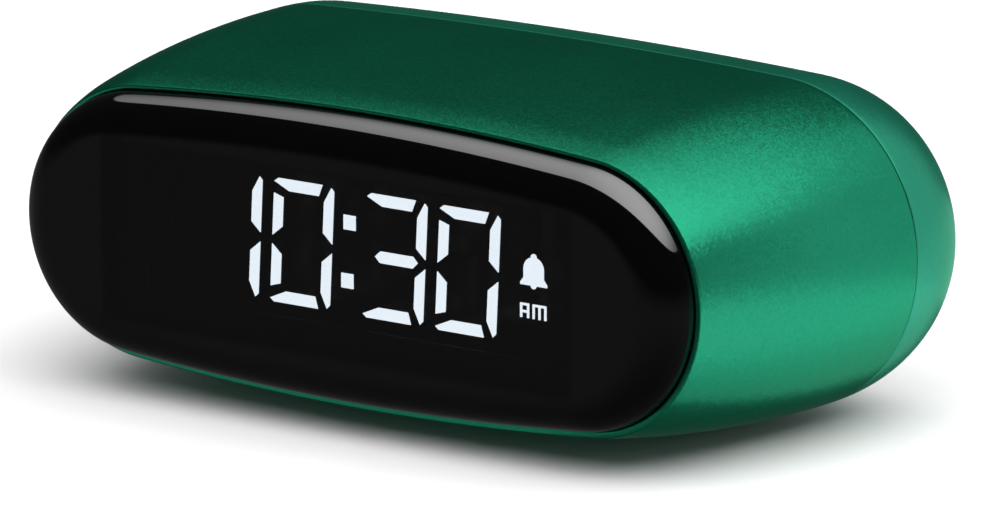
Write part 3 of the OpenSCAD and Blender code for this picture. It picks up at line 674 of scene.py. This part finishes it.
hatch_seat = rear_surface(*HATCH_HALF) - HATCH_REBATE

case_shell = mesh_object("case_shell", shell_shape())
for hole in range(SOUND_HOLES):
    x = (hole - (SOUND_HOLES - 1) / 2) * SOUND_HOLE_PITCH
    drill = [(height, SOUND_HOLE_RADIUS) for height in (-HALF_HEIGHT - 1, -10)]
    carve(case_shell, turned(drill, np.array([x, SOUND_HOLE_DEPTH, 0]), 2))
finished(case_shell, "case", "green_case", case_green, "main_shell")

rear_housing = mesh_object("rear_housing", cover_shape())
wall_outline = rounded_outline(*(BAY_HALF + BAY_WALL), BAY_WALL_CORNER)
carve(rear_housing, prism(wall_outline, BAY_FLOOR - BAY_BASE, hatch_seat - BAY_WALL_GAP), "UNION")
ledge_outline = rounded_outline(*(HATCH_HALF + HATCH_LEDGE), HATCH_LEDGE_CORNER)
hatch_ledge = prism(ledge_outline, hatch_seat - HATCH_LEDGE_BASE, hatch_seat - HATCH_LEDGE_GAP)
carve(rear_housing, hatch_ledge, "UNION")
carve(rear_housing, prism(rounded_outline(*HATCH_HALF, HATCH_CORNER), hatch_seat, CUTTER_END))
carve(rear_housing, prism(rounded_outline(*BAY_HALF, BAY_CORNER), BAY_FLOOR, CUTTER_END))
carve(rear_housing, finger_scoop())
for row in (-1, 0, 1):
    drill = [(depth, KEY_RADIUS + KEY_FIT) for depth in (REAR_FACE - 4, CUTTER_END)]
    carve(rear_housing, turned(drill, np.array([CONTROL_X, 0, row * KEY_PITCH]), 1))
slot_outline = rounded_outline(*SLOT_HALF, 0.4) + [-CONTROL_X, 0]
carve(rear_housing, prism(slot_outline, REAR_FACE - 5, CUTTER_END))
finished(rear_housing, "case", "green_case", cover_green, "rear_cover")

lens_cover = mesh_object("lens_cover", lens_shape())
finished(lens_cover, "case", "black_lens", lens_black, "front_lens")


# Battery hatch, cells and contacts


def hatch_shape():
    """Lid through rounded rectangles: hollow underside, straight edge, rounded corner, rear curve."""
    half = HATCH_HALF - HATCH_GAP
    corner = HATCH_CORNER - HATCH_GAP
    underside = hatch_seat + 0.1

    def ring(half_size, radius):
        """Rounded rectangle with its sides cut finely enough to follow the rear curve."""
        return rounded_outline(*half_size, radius, side_steps=HATCH_SIDE_STEPS)

    hollow = ring(HATCH_HOLLOW, 0.6)
    rings = [lift(hollow, REAR_FACE - HATCH_ROOF), lift(hollow, underside)]
    rings.append(lift(ring(half, corner), underside))
    for turn in np.radians(np.linspace(0, 90, 7)):
        inset = HATCH_EDGE * (1 - math.cos(turn))
        outline = ring(half - inset, corner - inset)
        rings.append(lift(outline, rear_surface(*outline.T) - HATCH_EDGE * (1 - math.sin(turn))))
    for share in np.linspace(0.03, 1, 22):
        outline = ring((half - HATCH_EDGE) * (1 - share) + HATCH_FLAT * share, corner - HATCH_EDGE)
        rings.append(lift(outline, rear_surface(*outline.T)))
    return skin(rings)


def hatch_rib(side):
    """Push-fit rib under the hatch, with rounded ends."""
    outline = rounded_outline(*RIB_HALF, RIB_CORNER) + [0, side * RIB_HEIGHT]
    return prism(outline, hatch_seat - RIB_REACH, hatch_seat + RIB_ROOT)


battery_hatch = mesh_object("battery_hatch", hatch_shape())
carve(battery_hatch, finger_scoop())
for side in (-1, 1):
    carve(battery_hatch, hatch_rib(side), "UNION")
finished(battery_hatch, "battery_door", "green_case", cover_green, "battery_door")


def cell_middle(side):
    """Middle of the button end of a cell: the upper one points to +x and the lower one to -x."""
    return np.array([side * (BAY_HALF[0] - CONTACT_ROOM), CELL_DEPTH, side * CELL_HEIGHT])


def jacket_shape(side):
    """Cell jacket: a turned sleeve with its edges rolled over the ends."""
    profile = [(1.0, 3.9), (0.95, 4.9), (1.15, 5.2), (1.5, 5.25), (43.9, 5.25), (44.3, 5.15), (44.4, 4.6)]
    return turned([(-side * place, radius) for place, radius in profile], cell_middle(side), 0)


def terminal_shape(side):
    """Metal ends of a cell: the domed button and the dished base."""
    button = [(1.02, 3.8), (0.9, 2.2), (0.75, 1.9), (0.15, 1.9), (0, 1.6)]
    base = [(44.38, 4.5), (44.5, 4.2), (44.5, 2.4), (44.4, 2.1)]
    ends = []
    for end in (button, base):
        ends.append(turned([(-side * place, radius) for place, radius in end], cell_middle(side), 0))
    return together(*ends)


def spring_shape(side):
    """Tapering contact spring: a wire tube swept along a helix that narrows towards the cell."""
    share = np.linspace(0, 1, 240)
    angle = 2 * math.pi * SPRING_TURNS * share
    radius = SPRING_RADIUS - SPRING_TAPER * share
    base = side * (BAY_HALF[0] - CONTACT_ROOM)
    along = -side * (SPRING_WIRE + (SPRING_LENGTH - 2 * SPRING_WIRE) * share)
    path = np.column_stack([base + along, CELL_DEPTH + radius * np.cos(angle), radius * np.sin(angle)])
    path += [0, 0, -side * CELL_HEIGHT]
    tangent = np.gradient(path, axis=0)
    tangent /= np.linalg.norm(tangent, axis=1)[:, None]
    outward = np.column_stack([np.zeros_like(angle), np.cos(angle), np.sin(angle)])
    outward -= tangent * np.sum(outward * tangent, axis=1)[:, None]
    outward /= np.linalg.norm(outward, axis=1)[:, None]
    across = np.cross(tangent, outward)
    ring = circle(SPRING_WIRE, 12)
    return skin(path[:, None] + ring[None, :, :1] * outward[:, None] + ring[None, :, 1:] * across[:, None])


def end_sheet(side, outline):
    """Flat sheet against one end of the bay, from its outline of depth and height."""
    outer = BAY_HALF[0] - SHEET_GAP
    return skin([np.insert(outline, 0, side * place, axis=1) for place in (outer - SHEET, outer)])


def contact_sheet(side, low, high):
    """Contact at one end of the bay, its corners rounded."""
    outline = rounded_outline(CONTACT_HALF_DEPTH, (high - low) / 2, CONTACT_CORNER)
    return end_sheet(side, outline + [BAY_FLOOR + CONTACT_HALF_DEPTH, (low + high) / 2])


def solder_tab(height):
    """Tab from a contact through the floor of the bay."""
    return end_sheet(1, rounded_outline(1.3, 1.5, 0.3) + [BAY_FLOOR - 1.25, height])


for node, side in (("upper_cell", 1), ("lower_cell", -1)):
    sleeve = mesh_object(node + "_jacket", jacket_shape(side))
    ends = mesh_object(node + "_terminals", terminal_shape(side))
    finished(sleeve, "case", "cell_jacket", SLOT_FINISH["cell_jacket"], node)
    finished(ends, "case", "bright_metal", SLOT_FINISH["bright_metal"])

bridge = together(contact_sheet(-1, -CONTACT_OUTER, CONTACT_OUTER), spring_shape(-1))
minus_plate = contact_sheet(1, -CONTACT_OUTER, -CONTACT_INNER)
minus_sheet = together(minus_plate, spring_shape(1), solder_tab(-CELL_HEIGHT))
plus_sheet = together(contact_sheet(1, CONTACT_INNER, CONTACT_OUTER), solder_tab(CELL_HEIGHT))
for name, node, shape in (
    ("bridge_spring", "battery_bridge", bridge),
    ("minus_spring", "negative_contact", minus_sheet),
    ("plus_sheet", "positive_contact", plus_sheet),
):
    finished(mesh_object(name, shape), "case", "bright_metal", SLOT_FINISH["bright_metal"], node)


# Keys, slider and feet


def key_shape(row):
    """Setting key: turned cap with a rolled edge, a slightly dished top and a retaining flange."""
    edge = 0.4
    rolled = arc((CONTROL_TOP - edge, KEY_RADIUS - edge), edge, 90, 0, 7)
    dished = [(CONTROL_TOP - 0.03, 1.4), (CONTROL_TOP - 0.08, 0.7), (CONTROL_TOP - 0.1, 0.2)]
    flange = [(42.65, 2.5), (42.75, 2.7), (43.35, 2.7), (43.45, 2.6), (43.45, KEY_RADIUS)]
    return turned(flange + rolled + dished, np.array([CONTROL_X, 0, row * KEY_PITCH]), 1)


def key_sign(row, half_x, half_height):
    """Raised bar of a sign on a key, with round ends."""
    outline = rounded_outline(half_x, half_height, min(half_x, half_height) * 0.98)
    return prism(outline + [CONTROL_X, row * KEY_PITCH], REAR_FACE + SIGN_BASE, REAR_FACE + SIGN_TOP)


def ring_sign(row):
    """Raised ring on the set key."""
    profile = [(SIGN_BASE, 0.75), (0.82, 0.78), (SIGN_TOP, 0.9), (0.82, 1.02), (SIGN_BASE, 1.05)]
    rings = [np.insert(circle(radius), 1, REAR_FACE + place, axis=1) for place, radius in profile]
    return skin(np.array(rings) + [CONTROL_X, 0, row * KEY_PITCH], tube=True)


key_signs = {
    "set": (1, ring_sign(1)),
    "plus": (0, together(key_sign(0, SIGN_LONG, SIGN_SHORT), key_sign(0, SIGN_SHORT, SIGN_LONG))),
    "minus": (-1, key_sign(-1, SIGN_LONG, SIGN_SHORT)),
}
for name, (row, sign) in key_signs.items():
    key = mesh_object(name + "_key", together(key_shape(row), sign))
    finished(key, name + "_button", "green_button", key_green, name + "_button")


def knob_shape():
    """Slider knob: rounded block with cross ridges, on the plate that closes the slot from behind."""
    middle = np.array([-CONTROL_X, SLIDER_REST])
    top = CONTROL_TOP
    block = [(1.3, 2.4, 43.8), (1.3, 2.4, top - 0.45), (1.24, 2.34, top - 0.3), (1.05, 2.15, top - 0.2)]
    plate = [(2.4, 5.65, 43.1), (2.5, 5.75, 43.2), (2.5, 5.75, 43.8), (2.4, 5.65, 43.9)]
    stem = [(0.75, 0.75, 41.25), (0.8, 0.8, 41.4), (0.8, 0.8, 43.2)]
    shapes = []
    for steps, corner in ((block, 0.5), (plate, 0.6), (stem, 0.2)):
        shapes.append(skin([lift(rounded_outline(x, h, corner) + middle, depth) for x, h, depth in steps]))
    for ridge in (-1, 0, 1):
        place = [top - RIDGE_RADIUS, middle[1] + ridge * RIDGE_PITCH]
        outline = circle(RIDGE_RADIUS, 20) * [0.75, 1] + place
        ends = (-CONTROL_X - RIDGE_HALF, -CONTROL_X + RIDGE_HALF)
        shapes.append(skin([np.insert(outline, 0, x, axis=1) for x in ends]))
    return together(*shapes)


slider_knob = mesh_object("slider_knob", knob_shape())
finished(slider_knob, "alarm_slider", "black_plastic", SLOT_FINISH["black_plastic"], "alarm_slider")


def foot_shape(x, depth):
    """Foot: turned pad with a rolled lower edge, its top in the wall of the case."""
    floor = -FRONT_EDGE[2]
    rolled = arc((floor + FOOT_EDGE, FOOT_RADIUS - FOOT_EDGE), FOOT_EDGE, 180, 90, 7)
    top = floor + (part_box("rubber_feet")[1][2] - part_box("rubber_feet")[0][2]) / MM
    return turned([(floor, FOOT_RADIUS / 2)] + rolled + [(top, FOOT_RADIUS)], np.array([x, depth, 0]), 2)


feet = together(*(foot_shape(x, depth) for x in (-FOOT_X, FOOT_X) for depth in FOOT_DEPTHS))
foot_pads = mesh_object("foot_pads", feet)
finished(foot_pads, "case", "black_rubber", SLOT_FINISH["black_rubber"], "rubber_feet")


# Floor, light and camera


def flat_floor():
    """Square floor, four metres a side, with rounded corners."""
    half = 2000.0
    outline = rounded_outline(half, half, 300)
    points = np.column_stack([outline, np.full(len(outline), -FRONT_EDGE[2])]) - [0, FRONT_EDGE[1], 0]
    return points, [list(range(len(points)))]


floor = mesh_object("floor", flat_floor())
floor_white = plain_finish("pale_floor", (0.908, 0.892, 0.9), (0.7, 0.8), uneven=0.01, depth=0.0)
floor.data.materials.append(floor_white)
floor.visible_glossy = False


def aim(thing, place, target):
    """Sets a light at a place, facing a target, both in metres."""
    sight = np.array(target, float) - np.array(place, float)
    level = math.hypot(sight[0], sight[1])
    thing.location = place
    thing.rotation_euler = (math.atan2(level, -sight[2]), 0, math.atan2(-sight[0], sight[1]))


def softbox(name, place, target, width, height, radiance):
    """Rectangular soft light, whose power is its brightness times pi times its area."""
    lamp = bpy.data.lights.new(name, "AREA")
    lamp.shape = "RECTANGLE"
    lamp.size = width
    lamp.size_y = height
    lamp.energy = radiance * math.pi * width * height
    thing = bpy.data.objects.new(name, lamp)
    bpy.context.collection.objects.link(thing)
    aim(thing, place, target)
    return thing


def linked_to(lamp, thing, state):
    """Lets a light reach one piece only, or all but that piece."""
    receivers = bpy.data.collections.new(lamp.name + "_receivers")
    receivers.objects.link(thing)
    receivers.collection_objects[0].light_linking.link_state = state
    lamp.light_linking.receiver_collection = receivers


def level_softbox(name, height, low, high, radiance, faces_up=False):
    """Level softbox between two corners (x, y) at a height, facing down or, as a reflector, up."""
    low, high = np.array(low), np.array(high)
    middle = (*((low + high) / 2), height)
    target = (middle[0], middle[1], height + (1 if faces_up else -1))
    return softbox(name, middle, target, *(high - low), radiance)


def lamp_place(lamp):
    """Node tree of a softbox, its strength socket and the place on it, in metres from one corner."""
    lamp.data.use_nodes = True
    tree = lamp.data.node_tree
    shape = tree.nodes.new("ShaderNodeNewGeometry")
    size = (lamp.data.size, lamp.data.size_y, 0)
    place = vector_node(tree, "MULTIPLY", shape.outputs["Parametric"], size)
    return tree, tree.nodes["Emission"].inputs["Strength"], place.outputs["Vector"]


def round_front(lamp, middle, radius, bright_spot, spread):
    """Masks a softbox to a round one and dims it as a bell curve away from its bright spot."""
    tree, strength, place = lamp_place(lamp)

    def away(point):
        """Distance from a point on the softbox."""
        return vector_node(tree, "DISTANCE", place, (*point, 0)).outputs["Value"]

    inside = math_node(tree, "LESS_THAN", away(middle), radius)
    ratio = math_node(tree, "DIVIDE", away(bright_spot), spread)
    bell = math_node(tree, "POWER", 1 / math.e, math_node(tree, "MULTIPLY", ratio, ratio))
    tree.links.new(math_node(tree, "MULTIPLY", inside, bell), strength)


def soft_left_edge(lamp, near, width):
    """Lets a reflector fade in from a share of its brightness at its left edge."""
    tree, strength, place = lamp_place(lamp)
    split = tree.nodes.new("ShaderNodeSeparateXYZ")
    tree.links.new(place, split.inputs["Vector"])
    tree.links.new(map_range(tree, split.outputs["X"], 0.0, width, low=near, smooth=True), strength)


# Lights: lens_light reaches the lens alone, floor_light the floor alone, the others all but the lens
CEILING = 0.92
TABLE = 0.0005
overhead_light = level_softbox("overhead_light", CEILING, (-1.4, -0.4), (1.5, 0.9), 2.6)
floor_light = level_softbox("floor_light", CEILING, (-0.45, -1.6), (1.35, 0.3), 3.25)
lens_light = level_softbox("lens_light", CEILING, (-1.3, -0.33), (1.5, 2.45), 7.5)
right_reflector = level_softbox("right_reflector", TABLE, (0.04, -0.2), (0.3, 0.05), 1.35, faces_up=True)
back_reflector = level_softbox("back_reflector", TABLE, (0.0, 0.05), (0.7, 0.7), 0.8, faces_up=True)
front_reflector = level_softbox("front_reflector", TABLE, (-0.5, -0.5), (0.02, -0.024), 0.4, faces_up=True)
side_panel = softbox("side_panel", (0.45, 0.76, 0.36), (0.03, 0, 0.02), 0.85, 0.75, 0.75)
right_panel = softbox("right_panel", (0.88, 0.36, 0.17), (0.03, 0, 0.02), 0.7, 0.36, 0.5)
metal_lights = (overhead_light, right_reflector, back_reflector, front_reflector, side_panel, right_panel)
for lamp in metal_lights:
    linked_to(lamp, lens_cover, "EXCLUDE")
linked_to(lens_light, lens_cover, "INCLUDE")
linked_to(floor_light, floor, "INCLUDE")
round_front(overhead_light, (1.4, 1.3), 2.0, (2.3, 0.45), 1.3)
round_front(lens_light, (1.39, 1.39), 1.35, (1.76, 0.33), 1.15)
soft_left_edge(right_reflector, 0.45, 0.02)


# Room seen in reflections, from straight down at 0 to straight up at 1, and the fill on dull surfaces
ROOM_GREYS = ((0.05, 0.045), (0.38, 0.125), (0.42, 0.12), (0.54, 0.025))
FILL = 0.25


def studio_world():
    """Soft grey fill; reflections see a black room above a dark grey table instead."""
    world = bpy.data.worlds.new("studio")
    world.use_nodes = True
    tree = world.node_tree
    place = tree.nodes.new("ShaderNodeTexCoord")
    split = tree.nodes.new("ShaderNodeSeparateXYZ")
    tree.links.new(place.outputs["Generated"], split.inputs["Vector"])
    room = tree.nodes.new("ShaderNodeValToRGB")
    stops = room.color_ramp.elements
    # Two more stops between the two that a ramp starts with
    stops.new(0.4)
    stops.new(0.5)
    for stop, (upward, grey) in zip(stops, ROOM_GREYS):
        stop.position = upward
        stop.color = (grey, grey, grey, 1)
    tree.links.new(map_range(tree, split.outputs["Z"], -1.0, 1.0), room.inputs["Fac"])
    path = tree.nodes.new("ShaderNodeLightPath")
    shade = map_range(tree, path.outputs["Is Glossy Ray"], 0.0, 1.0, FILL, room.outputs["Color"])
    tree.links.new(shade, tree.nodes["Background"].inputs["Strength"])
    tree.nodes["Background"].inputs["Color"].default_value = (1, 1, 1, 1)
    return world


bpy.context.scene.world = studio_world()
bpy.context.scene.view_settings.view_transform = "Standard"

# Camera at the photograph's angle: its place is measured from the middle of the front edge
CAMERA_PLACE = (689.494, -895.955, 260.907)
LOOKING_DOWN = math.radians(12.97)
LOOKING_LEFT = math.radians(36.87)
FOCAL_LENGTH = 417.745

lens_barrel = bpy.data.cameras.new("camera")
lens_barrel.sensor_width = 36
lens_barrel.lens = FOCAL_LENGTH
lens_barrel.clip_start = 0.01
camera = bpy.data.objects.new("camera", lens_barrel)
camera.location = (FRONT_EDGE + CAMERA_PLACE) * MM
camera.rotation_euler = (math.pi / 2 - LOOKING_DOWN, 0, LOOKING_LEFT)
bpy.context.collection.objects.link(camera)
bpy.context.scene.camera = camera
